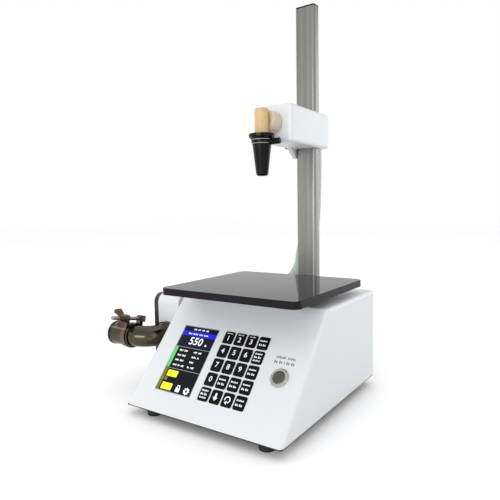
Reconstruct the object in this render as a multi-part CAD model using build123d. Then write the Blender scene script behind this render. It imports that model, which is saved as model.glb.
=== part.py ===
from build123d import *
import math
import os

# Desktop weighing filler for honey and other thick liquids.
# A gear pump in a side compartment draws the liquid in at the left and sends it up a hose to a
# nozzle on an arm that slides on a column. The jar stands on a weigh tray below the nozzle.
# Frame while modelling: X to the right, Y to the back, Z up. X = 0 is the middle of the casing,
# Y = 0 is the front bottom edge of the casing, and Z = 0 is the table.
# Everything is moved at the end so that the origin is the bottom centre of the whole machine.

# ---------------------------------------------------------------- driving sizes, in millimetres
body_width = 205.0
body_depth = 239.0
body_top = 124.4            # height of the casing's flat top above the table
casing_bottom = 12.3        # height of the casing's lower edge
panel_run = 102.0           # how far back the sloping panel reaches at its top
sheet = 1.5                 # sheet steel
corner_radius = 4.5         # bends of the casing

run_gap = 0.3               # between pieces on different bodies
fit_gap = 0.1               # between pieces fixed together

foot_top_radius = 9.0
foot_bottom_radius = 8.0
foot_inset_x = 26.5         # foot centre from the casing's side
foot_inset_front = 17.0
foot_inset_back = 16.0

tray_width = 185.0
tray_depth = 174.0
tray_thickness = 8.2
tray_corner = 9.0
tray_front = 44.0           # the tray's front edge, ahead of the casing's flat top
tray_offset_x = 3.6
tray_lift = 8.6             # free height between casing top and tray

carrier_width = 130.0
carrier_depth = 96.0
carrier_thickness = 3.8
pad_radius = 8.0
pad_thickness = 1.4

column_width = 28.0
column_depth = 15.3
column_wall = 2.0
column_corner = 3.5
column_centre_x = 14.8
column_behind_tray = 1.6
column_top = 495.8
column_cap_thickness = 1.8
column_floor = 14.3

arm_wall = 6.2              # side wall of the arm beside the column
arm_bottom = 312.0          # at rest
arm_height = 45.5
arm_front = 145.0
arm_back = 250.0
arm_corner = 4.0
brace_reach = 21.0          # how far the rib under the arm runs ahead of the column
brace_drop = 12.0
brace_sag = 5.2
arm_travel_up = 0.120       # metres
arm_travel_down = 0.100

nozzle_x = 9.5
nozzle_y = 120.0
nozzle_tip_height = 271.0
nozzle_tip_radius = 6.6
nozzle_neck_radius = 11.3
nozzle_flange_radius = 15.3
nozzle_bore = 4.5
stub_reach = 25.0           # nozzle axis to the end of its side stub
stub_radius = 3.6
chamber_top = 349.0
chamber_mid = 335.6
chamber_bottom = 319.4
chamber_radius = 8.2
chamber_bore = 6.0
boss_radius = 13.4
boss_bore = 7.8

pump_centre_y = 157.0
pipe_height = 72.0          # axis of inlet and outlet, and middle of the pump
gear_module = 2.5
gear_teeth = 12
gear_width = 18.4
gear_backlash_deg = 0.5
shaft_radius = 6.0
shaft_gap = 0.08
pump_flange_thickness = 8.0
pump_block_thickness = 26.0
pump_wall = 9.5             # metal outside the gear pockets
pump_corner = 8.0

housing_front = 90.0
housing_back = 225.0
housing_width = 35.5        # how far the compartment stands out of the casing's left side
housing_top = 122.5
housing_corner = 12.0
cover_thickness = 7.5
housing_lower_gap = 0.7

pipe_radius = 13.45         # 26.9 mm tube
pipe_wall = 1.6
elbow_radius = 24.0
elbow_axis_y = 58.0
collar_radius = 15.6
collar_length = 7.0
tube_end = -173.0           # end of the elbow, inside the cuff
cuff_wall = 1.0
cuff_start = -149.5
cuff_end = -185.0
cuff_lip = 0.7
cuff_bead = 2.2

band_centre_x = -156.5
band_width = 7.6
band_thickness = 1.6
clamp_roll_deg = -12.0      # the clamp is turned backward about the pipe
clamp_bolt_height = 21.2    # bolt axis above the pipe axis
clamp_bolt_radius = 2.5
lug_offset = 11.5
lug_thickness = 5.0
wing_span = 12.5            # bolt axis to wing tip
wing_turn_deg = 68.0

screw_radius = 2.0          # M4 pan-head
screw_head_radius = 3.8
screw_head_height = 2.2
screw_length = 8.0
cap_radius = 2.5            # M5 socket-head
cap_head_radius = 4.25
cap_head_height = 5.0

hose_radius = 13.0
hose_bore = 9.5

display_left = -74.4
display_bottom = 24.0
display_width = 52.6
display_height = 84.2
display_recess = 0.4

key_columns = 4
key_rows = 5
key_width = 13.25
key_height = 14.8
key_pitch_x = 15.55
key_pitch_y = 17.13
key_left = -11.8
key_bottom = 24.6
key_corner = 1.9
key_proud = 0.9
key_travel = 0.6
key_flange = 0.5

button_u = 74.6
button_v = 66.3
button_bezel_radius = 10.0
button_barrel_radius = 8.0
button_cap_radius = 6.6
button_travel = 1.5

# ---------------------------------------------------------------- sizes that follow from them
half_width = body_width / 2
panel_rise = body_top - casing_bottom
panel_length = math.hypot(panel_run, panel_rise)
tray_bottom = body_top + tray_lift
tray_top = tray_bottom + tray_thickness
tray_back = tray_front + tray_depth
column_front = tray_back + column_behind_tray
column_back = column_front + column_depth
column_mid_y = (column_front + column_back) / 2
arm_left = column_centre_x - column_width / 2 - run_gap - arm_wall
arm_right = column_centre_x + column_width / 2 + run_gap + arm_wall
arm_top = arm_bottom + arm_height
wall_left = -half_width                       # outer face of the casing's left side
pump_flange_left = wall_left - pump_flange_thickness
pump_left = pump_flange_left - pump_block_thickness
pump_port_x = (pump_flange_left + pump_left) / 2 - 0.5
cover_inner = wall_left - housing_width
cover_outer = cover_inner - cover_thickness
gear_pitch_radius = gear_module * gear_teeth / 2
gear_tip_radius = gear_pitch_radius + 0.88 * gear_module
gear_root_radius = gear_pitch_radius - 1.08 * gear_module
pocket_radius = gear_tip_radius + run_gap
pocket_depth = gear_width + 2 * run_gap
pump_half_depth = pocket_radius + pump_wall
drive_z = pipe_height - gear_pitch_radius
driven_z = pipe_height + gear_pitch_radius
panel_plane = Plane(origin=(0, 0, casing_bottom), x_dir=(1, 0, 0),
                    z_dir=(0, -panel_rise / panel_length, panel_run / panel_length))
key_names = [
    ["key_1", "key_2", "key_3", "key_type"],
    ["key_4", "key_5", "key_6", "key_start"],
    ["key_7", "key_8", "key_9", "key_trigger"],
    ["key_0", "key_auto", "key_weight", "key_feed"],
    ["key_clear", "key_down", "key_back", "key_wash"],
]


# ---------------------------------------------------------------- helpers
def block(low, high):
    """A box from its lowest to its highest corner."""
    size = [b - a for a, b in zip(low, high)]
    middle = [(a + b) / 2 for a, b in zip(low, high)]
    return Pos(*middle) * Box(*size)


def rod(start, end, radius, end_radius=None):
    """A round bar, or a cone, from one point to another."""
    a = Vector(*start)
    b = Vector(*end)
    along = b - a
    plane = Plane(origin=(a + b) / 2, z_dir=along)
    if end_radius is None:
        return plane * Cylinder(radius, along.length)
    return plane * Cone(radius, end_radius, along.length)


def edges_along(solid, direction):
    """The straight edges of a solid that run along one axis."""
    return solid.edges().filter_by(direction)


def wedge(inset, back, bottom):
    """The casing's side profile as a solid: sloping front, flat top, inset from its outside."""
    normal_shift = inset * panel_length / panel_rise
    foot = normal_shift + (bottom - casing_bottom) * panel_run / panel_rise
    top = body_top - inset
    crest = normal_shift + (top - casing_bottom) * panel_run / panel_rise
    profile = Polyline((foot, bottom), (crest, top), (back, top), (back, bottom), close=True)
    side = Plane.YZ * make_face(profile)
    solid = Pos(-half_width + inset, 0, 0) * extrude(side, amount=body_width - 2 * inset)
    radius = corner_radius - inset
    bends = [e for e in solid.edges() if is_bend(e)]
    return fillet(bends, radius)


def is_bend(edge):
    """True for the edges of the wedge that are bent in the sheet."""
    a = edge.position_at(0)
    b = edge.position_at(1)
    rise = abs(a.Z - b.Z)
    run = abs(a.Y - b.Y)
    slanted = rise > 5 and run > 5
    ridge = abs(a.X - b.X) > 50 and edge.center().Y < panel_run + 10 and edge.center().Z > body_top / 2
    roof = run > 50 and rise < 1 and edge.center().Z > body_top / 2
    return slanted or ridge or roof


def on_panel(solid):
    """Moves a solid from the panel's own frame (u across, v up the slope, w out of it)."""
    return panel_plane * solid


def rounded_plate(width, depth, thickness, radius):
    """A plate with rounded corners, on the XY plane and centred on it."""
    plate = extrude(RectangleRounded(width, depth, radius), amount=thickness)
    return plate


def pan_screw(head_seat, direction):
    """An M4 pan-head screw: head_seat is under the head, direction is the way it screws in."""
    seat = Vector(*head_seat)
    way = Vector(*direction)
    head = rod(seat, seat - way * screw_head_height, screw_head_radius)
    slot_size = 1.0
    slot = Plane(origin=seat - way * screw_head_height, z_dir=way) * Box(1.2, 5.4, slot_size * 2)
    cross = Plane(origin=seat - way * screw_head_height, z_dir=way) * Box(5.4, 1.2, slot_size * 2)
    shank = rod(seat, seat + way * screw_length, screw_radius)
    return head - slot - cross + shank


def cap_screw(head_seat, direction, length):
    """An M5 socket-head screw, as pan_screw."""
    seat = Vector(*head_seat)
    way = Vector(*direction)
    head = rod(seat, seat - way * cap_head_height, cap_head_radius)
    socket = rod(seat - way * cap_head_height, seat - way * (cap_head_height - 2.5), 2.3)
    shank = rod(seat, seat + way * length, cap_radius)
    return head - socket + shank


# ---------------------------------------------------------------- places shared by pieces
foot_places = [(x, y) for x in (-half_width + foot_inset_x, half_width - foot_inset_x)
               for y in (foot_inset_front, body_depth - foot_inset_back)]
rear_screw_places = [(x, z) for x in (-half_width + 7.5, half_width - 7.5)
                     for z in (casing_bottom + 9, body_top - 9)]
rear_block = 10.0
cover_screw_inset = 8.0
cover_screw_places = [(y, z) for y in (housing_front + cover_screw_inset, housing_back - cover_screw_inset)
                      for z in (casing_bottom + housing_lower_gap + cover_screw_inset, housing_top - cover_screw_inset)]
pump_screw_places = [(pump_centre_y + dy, pipe_height + dz) for dy in (-19.5, 19.5) for dz in (-35.5, 35.5)]

load_cell_low = (-57.0, tray_front + tray_depth / 2 - 15.0, 92.0)
load_cell_high = (58.0, tray_front + tray_depth / 2 + 15.0, 114.0)
post_x = -42.0
post_y = tray_front + tray_depth / 2
post_radius = 9.0
bracket_left = 33.0
load_screw_places = [(bracket_left + 6.5, post_y), (load_cell_high[0] - 6.5, post_y)]

mains_x = 62.0
mains_z = 47.0
mains_width = 48.0
mains_height = 28.0
mains_depth = 28.0
mains_flange = 2.0
rocker_x = mains_x - 14.5
rocker_width = 13.0
rocker_height = 20.0
rocker_pivot_depth = 1.0
rocker_pin_radius = 1.4
rocker_swing_deg = 14.0

board_back = -9.1
board_front = -7.5
board_low = (-86.0, 18.0)
board_high = (58.0, 122.0)
board_posts = [(u, v) for u in (board_low[0] + 4, board_high[0] - 4) for v in (board_low[1] + 4, board_high[1] - 4)]

arm_port_x = 2.0
arm_port_z = arm_bottom + 20.0
elbow_back_y = arm_back + 16.0     # axis of the hose behind the arm
elbow_half = 12.0
barb_top = arm_port_z - elbow_half - 2.5
knob_z = arm_bottom + 12.0
knob_y = column_mid_y
stud_radius = 3.0


def key_corner_at(row, column):
    """The lower left corner of a key on the panel."""
    u = key_left + column * key_pitch_x
    v = key_bottom + (key_rows - 1 - row) * key_pitch_y
    return u, v


# ---------------------------------------------------------------- casing and base
def base_pan():
    low_z = casing_bottom - sheet
    pan = block((-half_width + 0.6, 0.8, low_z), (half_width - 0.6, body_depth - 0.3, casing_bottom))
    flange_height = 9.0
    flange_x = half_width - sheet - fit_gap
    for side in (-1, 1):
        outer = side * flange_x
        inner = side * (flange_x - sheet)
        pan += block((min(outer, inner), 20, casing_bottom), (max(outer, inner), 222, casing_bottom + flange_height))
    for x, y in foot_places:
        pan += rod((x, y, low_z), (x, y, casing_bottom + 3.5), 5.0)
    for x, y in foot_places:
        pan -= rod((x, y, low_z - 1), (x, y, casing_bottom + 4), screw_radius + fit_gap)
    return pan


def rubber_feet():
    height = casing_bottom - sheet
    feet = []
    for x, y in foot_places:
        foot = rod((x, y, 0), (x, y, height), foot_bottom_radius, foot_top_radius)
        foot -= rod((x, y, -1), (x, y, 5), screw_head_radius + 0.6)
        foot -= rod((x, y, 4), (x, y, height + 1), screw_radius + fit_gap)
        feet.append(foot)
    return feet


def casing_shell():
    shell = wedge(0, body_depth, casing_bottom)
    shell -= wedge(sheet, body_depth + 5, casing_bottom - 5)
    for x, z in rear_screw_places:
        wall = math.copysign(half_width - sheet + 0.2, x)
        inner = x - math.copysign(rear_block / 2, x)
        shell += block((min(wall, inner), body_depth - sheet - rear_block, z - rear_block / 2),
                       (max(wall, inner), body_depth - sheet, z + rear_block / 2))
        shell -= rod((x, body_depth, z), (x, body_depth - sheet - rear_block, z), screw_radius + fit_gap)
    for u, v in board_posts:
        shell += on_panel(rod((u, v, -sheet + 0.2), (u, v, board_front), 2.6))
    shell -= on_panel(block((display_left, display_bottom, -4),
                            (display_left + display_width, display_bottom + display_height, 4)))
    for row in range(key_rows):
        for column in range(key_columns):
            shell -= key_hole(row, column)
    shell -= on_panel(rod((button_u, button_v, -4), (button_u, button_v, 4), button_barrel_radius + fit_gap))
    shell -= rod((wall_left - 2, pump_centre_y, drive_z), (wall_left + 4, pump_centre_y, drive_z), shaft_radius + 2)
    shell -= block((column_centre_x - column_width / 2 - fit_gap, column_front - fit_gap, body_top - 4),
                   (column_centre_x + column_width / 2 + fit_gap, column_back + fit_gap, body_top + 4))
    shell -= rod((post_x, post_y, body_top - 4), (post_x, post_y, body_top + 4), post_radius + 3)
    return shell


def key_hole(row, column):
    u, v = key_corner_at(row, column)
    gap = run_gap
    hole = extrude(RectangleRounded(key_width + 2 * gap, key_height + 2 * gap, key_corner + gap), amount=8)
    return on_panel(Pos(u + key_width / 2, v + key_height / 2, -4) * hole)


def rear_panel():
    panel = block((-half_width + sheet + fit_gap, body_depth - sheet, casing_bottom + fit_gap),
                  (half_width - sheet - fit_gap, body_depth, body_top - sheet - fit_gap))
    top_corners = [e for e in edges_along(panel, Axis.Y) if e.center().Z > body_top / 2]
    panel = fillet(top_corners, corner_radius - sheet)
    for x, z in rear_screw_places:
        panel -= rod((x, body_depth - 5, z), (x, body_depth + 2, z), screw_radius + fit_gap)
    panel -= block((mains_x - mains_width / 2 + 1 - fit_gap, body_depth - 5, mains_z - mains_height / 2 + 1 - fit_gap),
                   (mains_x + mains_width / 2 - 1 + fit_gap, body_depth + 5, mains_z + mains_height / 2 - 1 + fit_gap))
    vent_count = 7
    for index in range(vent_count):
        x = -62 + index * 8
        panel -= block((x, body_depth - 5, 40), (x + 3.2, body_depth + 5, 86))
    return panel


def case_screws():
    screws = []
    for x, y in foot_places:
        screws.append(pan_screw((x, y, 5), (0, 0, 1)))
    for x, z in rear_screw_places:
        screws.append(pan_screw((x, body_depth, z), (0, -1, 0)))
    for y, z in cover_screw_places:
        screws.append(pan_screw((cover_outer, y, z), (1, 0, 0)))
    return screws


# ---------------------------------------------------------------- column
def column_shape(inset, z_low, z_high):
    width = column_width - 2 * inset
    depth = column_depth - 2 * inset
    radius = max(column_corner - inset, 0.4)
    bar = extrude(RectangleRounded(width, depth, radius), amount=z_high - z_low)
    return Pos(column_centre_x, column_mid_y, z_low) * bar


def column():
    top = column_top - column_cap_thickness
    return column_shape(0, column_floor, top) - column_shape(column_wall, column_floor - 1, top + 1)


def column_cap():
    top = column_top - column_cap_thickness
    return column_shape(0, top, column_top) + column_shape(column_wall + fit_gap, top - 9, top)


def column_socket():
    margin = 5.5
    socket = block((column_centre_x - column_width / 2 - margin, column_front - margin, casing_bottom),
                   (column_centre_x + column_width / 2 + margin, body_depth - sheet - fit_gap, casing_bottom + 46))
    return socket - column_shape(-fit_gap, column_floor, casing_bottom + 60)


# ---------------------------------------------------------------- weigh tray
def load_cell():
    bar = block(load_cell_low, load_cell_high)
    mid_x = (load_cell_low[0] + load_cell_high[0]) / 2
    mid_z = (load_cell_low[2] + load_cell_high[2]) / 2
    for dx in (-9, 9):
        bar -= rod((mid_x + dx, load_cell_low[1] - 1, mid_z), (mid_x + dx, load_cell_high[1] + 1, mid_z), 7.5)
    bar -= block((mid_x - 9, load_cell_low[1] - 1, mid_z - 2), (mid_x + 9, load_cell_high[1] + 1, mid_z + 2))
    for x, y in load_screw_places:
        bar -= rod((x, y, load_cell_low[2] - 1), (x, y, load_cell_high[2] + 1), cap_radius + fit_gap)
    return bar


def load_cell_bracket():
    top = load_cell_low[2]
    low = (bracket_left, post_y - 13, casing_bottom)
    high = (load_cell_high[0], post_y + 13, top)
    bracket = block(low, high)
    bracket -= block((low[0] + 4, low[1] - 1, low[2] + 5), (high[0] + 1, high[1] + 1, high[2] - 8))
    for x, y in load_screw_places:
        bracket -= rod((x, y, top + 1), (x, y, top - 9), cap_radius + fit_gap)
    return bracket


def tray_carrier():
    low_z = tray_bottom - pad_thickness - carrier_thickness
    plate = Pos(tray_offset_x, post_y, low_z) * rounded_plate(carrier_width, carrier_depth, carrier_thickness, 10)
    return plate + rod((post_x, post_y, load_cell_high[2]), (post_x, post_y, low_z + 1), post_radius)


def tray_pads():
    pads = []
    for sx in (-1, 1):
        for sy in (-1, 1):
            x = tray_offset_x + sx * (carrier_width / 2 - pad_radius - 3)
            y = post_y + sy * (carrier_depth / 2 - pad_radius - 3)
            pads.append(rod((x, y, tray_bottom - pad_thickness), (x, y, tray_bottom), pad_radius))
    return pads


def weigh_tray():
    plate = rounded_plate(tray_width, tray_depth, tray_thickness, tray_corner)
    rim = plate.edges().group_by(Axis.Z)[-1]
    plate = chamfer(rim, 0.6)
    return Pos(tray_offset_x, tray_front + tray_depth / 2, tray_bottom) * plate


# ---------------------------------------------------------------- pump
def housing_outline(grow, x_low, x_high):
    low_y = housing_front - grow
    high_y = housing_back + grow
    low_z = casing_bottom + housing_lower_gap - grow
    high_z = housing_top + grow
    sketch = Rectangle(high_y - low_y, high_z - low_z)
    sketch = fillet(sketch.vertices(), housing_corner + grow)
    solid = extrude(Plane.YZ * sketch, amount=x_high - x_low)
    return Pos(x_low, (low_y + high_y) / 2, (low_z + high_z) / 2) * solid


def pump_housing():
    shell = housing_outline(0, cover_inner, wall_left)
    shell -= housing_outline(-sheet, cover_inner - 1, wall_left - sheet)
    shell -= pump_outline(wall_left - sheet - 1, wall_left + 1, fit_gap)
    for y, z in cover_screw_places:
        boss = rod((cover_inner, y, z), (cover_inner + 12, y, z), 4.5)
        corner = block((cover_inner, y - 4.5, z - 4.5), (cover_inner + 12, y + 4.5, z + 4.5))
        shell += (boss + corner) & housing_outline(-0.2, cover_inner, wall_left)
        shell -= rod((cover_inner - 1, y, z), (cover_inner + 13, y, z), screw_radius + fit_gap)
    shell -= rod((pump_port_x, housing_front - 2, pipe_height), (pump_port_x, housing_front + 4, pipe_height),
                 pipe_radius - 1 + fit_gap)
    shell -= rod((pump_port_x, housing_back - 4, pipe_height), (pump_port_x, housing_back + 2, pipe_height),
                 hose_bore + fit_gap)
    return shell


def pump_side_cover():
    cover = housing_outline(0, cover_outer, cover_inner)
    for y, z in cover_screw_places:
        cover -= rod((cover_outer - 1, y, z), (cover_inner + 1, y, z), screw_radius + fit_gap)
    return cover


def gear_pockets(x_low, x_high, radius):
    pockets = rod((x_low, pump_centre_y, drive_z), (x_high, pump_centre_y, drive_z), radius)
    return pockets + rod((x_low, pump_centre_y, driven_z), (x_high, pump_centre_y, driven_z), radius)


def pump_outline(x_low, x_high, grow=0.0):
    height = 2 * (gear_pitch_radius + pump_half_depth + grow)
    sketch = RectangleRounded(2 * (pump_half_depth + grow), height, pump_corner + grow)
    return Pos(x_low, pump_centre_y, pipe_height) * extrude(Plane.YZ * sketch, amount=x_high - x_low)


def pump_body():
    body = pump_outline(pump_left, pump_flange_left)
    body -= gear_pockets(pump_flange_left - pocket_depth, pump_flange_left + 1, pocket_radius)
    body -= gear_pockets(pump_left + 2, pump_flange_left, shaft_radius + shaft_gap)
    front = pump_centre_y - pump_half_depth
    back = pump_centre_y + pump_half_depth
    port = hose_bore - 2.0
    body -= rod((pump_port_x, front - 1, pipe_height), (pump_port_x, pump_centre_y, pipe_height), 8.0)
    spigot_end = housing_back + 17
    body += rod((pump_port_x, back - 1, pipe_height), (pump_port_x, spigot_end, pipe_height), hose_bore - fit_gap)
    body -= rod((pump_port_x, pump_centre_y, pipe_height), (pump_port_x, spigot_end + 1, pipe_height), port)
    for y, z in pump_screw_places:
        body -= rod((pump_left - 1, y, z), (pump_left + cap_head_height + 0.4, y, z), cap_head_radius + 0.3)
        body -= rod((pump_left, y, z), (pump_flange_left + 1, y, z), cap_radius + fit_gap)
    return body


def pump_flange_plate():
    plate = pump_outline(pump_flange_left, wall_left)
    plate -= rod((pump_flange_left - 1, pump_centre_y, drive_z), (wall_left + 1, pump_centre_y, drive_z),
                 shaft_radius + shaft_gap)
    plate -= rod((pump_flange_left - 1, pump_centre_y, driven_z), (wall_left - 2, pump_centre_y, driven_z),
                 shaft_radius + shaft_gap)
    for y, z in pump_screw_places:
        plate -= rod((pump_flange_left - 1, y, z), (wall_left - 1, y, z), cap_radius + fit_gap)
    return plate


def tooth_half_angle(radius):
    """Half the angle of an involute tooth at a radius, in degrees."""
    pressure = math.radians(20)
    base = gear_pitch_radius * math.cos(pressure)
    at_pitch = 90 / gear_teeth - gear_backlash_deg / 2
    here = math.acos(min(base / radius, 1))
    involute = math.tan(here) - here
    involute_at_pitch = math.tan(pressure) - pressure
    return at_pitch + math.degrees(involute_at_pitch - involute)


def gear_wheel(turned_deg):
    """A spur gear on the YZ plane, with a tooth at turned_deg from +Y."""
    base = gear_pitch_radius * math.cos(math.radians(20))
    flank = [(gear_root_radius, tooth_half_angle(base) - 2.2), (base, tooth_half_angle(base) - 0.3)]
    for share in (0.3, 0.65, 1.0):
        radius = base + share * (gear_tip_radius - base)
        flank.append((radius, tooth_half_angle(radius)))
    points = []
    for tooth in range(gear_teeth):
        middle = turned_deg + tooth * 360 / gear_teeth
        for radius, half in flank:
            points.append(polar(radius, middle - half))
        for radius, half in reversed(flank):
            points.append(polar(radius, middle + half))
    return extrude(Plane.YZ * make_face(Polyline(*points, close=True)), amount=gear_width)


def polar(radius, degrees):
    angle = math.radians(degrees)
    return radius * math.cos(angle), radius * math.sin(angle)


def drive_gear():
    gear_x = pump_flange_left - run_gap - gear_width
    wheel = Pos(gear_x, pump_centre_y, drive_z) * gear_wheel(90)
    shaft_end = wall_left + sheet + 26
    return wheel + rod((pump_left + 2.3, pump_centre_y, drive_z), (shaft_end, pump_centre_y, drive_z), shaft_radius)


def driven_gear():
    gear_x = pump_flange_left - run_gap - gear_width
    wheel = Pos(gear_x, pump_centre_y, driven_z) * gear_wheel(90 + 180 / gear_teeth)
    shaft = rod((pump_left + 2.3, pump_centre_y, driven_z), (wall_left - 2.3, pump_centre_y, driven_z), shaft_radius)
    return wheel + shaft


def gearmotor():
    start = wall_left + sheet
    gearbox = block((start, pump_centre_y - 28, drive_z - 28), (start + 34, pump_centre_y + 28, drive_z + 28))
    gearbox = fillet(edges_along(gearbox, Axis.X), 5)
    motor = rod((start + 34, pump_centre_y, drive_z), (start + 92, pump_centre_y, drive_z), 26)
    tail = rod((start + 92, pump_centre_y, drive_z), (start + 97, pump_centre_y, drive_z), 12)
    bore = rod((start - 1, pump_centre_y, drive_z), (start + 27, pump_centre_y, drive_z), shaft_radius + shaft_gap)
    return gearbox + motor + tail - bore


# ---------------------------------------------------------------- inlet
def inlet_collar():
    front = housing_front - collar_length
    pump_face = pump_centre_y - pump_half_depth
    collar = rod((pump_port_x, front, pipe_height), (pump_port_x, housing_front, pipe_height), collar_radius)
    collar += rod((pump_port_x, housing_front - 1, pipe_height), (pump_port_x, pump_face, pipe_height), pipe_radius - 1)
    return collar - rod((pump_port_x, front - 1, pipe_height), (pump_port_x, pump_face + 1, pipe_height),
                        pipe_radius - pipe_wall - 1)


def elbow_path():
    start = (pump_port_x, housing_front - collar_length, pipe_height)
    bend = (pump_port_x, elbow_axis_y + elbow_radius, pipe_height)
    after = (pump_port_x - elbow_radius, elbow_axis_y, pipe_height)
    end = (tube_end, elbow_axis_y, pipe_height)
    turn_centre = (pump_port_x - elbow_radius, elbow_axis_y + elbow_radius)
    corner = math.radians(-45)
    middle = (turn_centre[0] + elbow_radius * math.cos(corner),
              turn_centre[1] + elbow_radius * math.sin(corner), pipe_height)
    return Line(start, bend) + ThreePointArc(bend, middle, after) + Line(after, end)


def inlet_elbow():
    path = elbow_path()
    section = Plane(origin=path @ 0, z_dir=path % 0)
    tube = sweep(section * Circle(pipe_radius), path=path)
    return tube - sweep(section * Circle(pipe_radius - pipe_wall), path=path)


def inlet_cuff():
    inner = pipe_radius + fit_gap
    outer = inner + cuff_wall
    centre = (elbow_axis_y, pipe_height)
    cuff = rod((cuff_start, *centre), (cuff_end, *centre), outer)
    cuff += rod((cuff_end, *centre), (cuff_end + cuff_bead, *centre), outer + cuff_lip)
    cuff += rod((cuff_start, *centre), (cuff_start - cuff_bead, *centre), outer + cuff_lip)
    return cuff - rod((cuff_start + 1, *centre), (cuff_end - 1, *centre), inner)


def clamp_frame(solid):
    """Moves a solid from the clamp's own frame: X along the pipe, Y back, Z up from the pipe's axis."""
    return Pos(band_centre_x, elbow_axis_y, pipe_height) * Rot(clamp_roll_deg, 0, 0) * solid


def clamp_band():
    inner = pipe_radius + cuff_wall + 2 * fit_gap
    outer = inner + band_thickness
    half = band_width / 2
    band = rod((-half, 0, 0), (half, 0, 0), outer)
    for side in (-1, 1):
        near = side * (lug_offset - lug_thickness / 2)
        far = side * (lug_offset + lug_thickness / 2)
        lug_top = clamp_bolt_height + 4.6
        lug = block((-half, min(near, far), 5), (half, max(near, far), lug_top))
        band += fillet(edges_along(lug, Axis.Y).group_by(Axis.Z)[-1], 3.0)
    band -= rod((-half - 1, 0, 0), (half + 1, 0, 0), inner)
    band -= block((-half - 1, -3, 0), (half + 1, 3, outer + 2))
    bolt_hole = rod((0, -30, clamp_bolt_height), (0, 30, clamp_bolt_height), clamp_bolt_radius + run_gap)
    return clamp_frame(band - bolt_hole)


def clamp_bolt():
    head_seat = lug_offset + lug_thickness / 2
    bolt = rod((0, head_seat, clamp_bolt_height), (0, -35, clamp_bolt_height), clamp_bolt_radius)
    head = block((-4, head_seat, clamp_bolt_height - 4), (4, head_seat + 4, clamp_bolt_height + 4))
    return clamp_frame(bolt + head)


def wing_nut():
    near = -lug_offset - lug_thickness / 2 - run_gap
    hub = rod((0, near, 0), (0, near - 10, 0), 5.4, 4.2)
    wing_profile = Polyline((3.0, near - 1.5), (wing_span - 5, near - 2.0), (wing_span, near - 4.5),
                            (wing_span - 1.0, near - 15), (wing_span - 5, near - 16), (3.0, near - 8.5), close=True)
    wing = Pos(0, 0, -1.2) * extrude(make_face(wing_profile), amount=2.4)
    wing = fillet([e for e in edges_along(wing, Axis.Z) if e.center().X > 8], 2.4)
    nut = hub + wing + Rot(0, 180, 0) * wing
    nut -= rod((0, near + 1, 0), (0, near - 12, 0), clamp_bolt_radius + run_gap)
    return clamp_frame(Pos(0, 0, clamp_bolt_height) * Rot(0, wing_turn_deg, 0) * nut)


# ---------------------------------------------------------------- arm and nozzle
def arm_housing():
    body = block((arm_left, arm_front, arm_bottom), (arm_right, arm_back, arm_top))
    body = fillet(edges_along(body, Axis.Z) + edges_along(body, Axis.Y) + edges_along(body, Axis.X), arm_corner)
    front = column_front - run_gap
    high = arm_bottom + arm_corner
    tip = (front - brace_reach, high)
    low = arm_bottom - brace_drop
    brace_profile = make_face(
        Line(tip, (column_back, high))
        + Line((column_back, high), (column_back, low))
        + Line((column_back, low), (front, low))
        + ThreePointArc((front, low), (front - brace_reach / 3, arm_bottom - brace_sag), tip)
    )
    brace_left = arm_left + 1.0
    brace = extrude(Plane.YZ * brace_profile, amount=arm_wall - 1.0)
    body += Pos(brace_left, 0, 0) * brace
    body -= column_shape(-run_gap, arm_bottom - 30, arm_top + 10)
    gallery_low = arm_bottom + 8
    gallery_high = arm_top - 8
    port_z = arm_port_z
    gallery_left = arm_right - arm_wall + 1.6
    gallery_right = arm_right - 1.6
    body -= block((arm_port_x - 5, column_back + run_gap + 2.5, port_z - 6), (gallery_right, arm_back - 5, port_z + 6))
    body -= block((gallery_left, arm_front + 8, gallery_low), (gallery_right, arm_back - 5, gallery_high))
    body -= block((nozzle_x - 5, arm_front + 8, chamber_mid - 7), (gallery_right, arm_front + 30, chamber_mid + 7))
    body -= rod((nozzle_x, arm_front - 1, chamber_mid), (nozzle_x, arm_front + 12, chamber_mid), boss_bore)
    body -= rod((arm_port_x, arm_back + 1, port_z), (arm_port_x, arm_back - 8, port_z), 5.0)
    body -= rod((arm_left - 1, knob_y, knob_z), (arm_left + arm_wall + 1, knob_y, knob_z), stud_radius + fit_gap * 2)
    return body


def sight_chamber():
    chamber = rod((nozzle_x, nozzle_y, chamber_bottom), (nozzle_x, nozzle_y, chamber_top), chamber_radius)
    chamber = fillet(chamber.edges().group_by(Axis.Z)[-1], 1.6)
    boss = rod((nozzle_x, nozzle_y + 5.5, chamber_mid), (nozzle_x, arm_front, chamber_mid), boss_radius)
    boss = fillet(boss.edges().group_by(Axis.Y)[0], 3.0)
    chamber += boss
    chamber -= rod((nozzle_x, nozzle_y, chamber_bottom - 1), (nozzle_x, nozzle_y, chamber_top - 4), chamber_bore)
    return chamber - rod((nozzle_x, nozzle_y, chamber_mid), (nozzle_x, arm_front + 1, chamber_mid), boss_bore)


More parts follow.
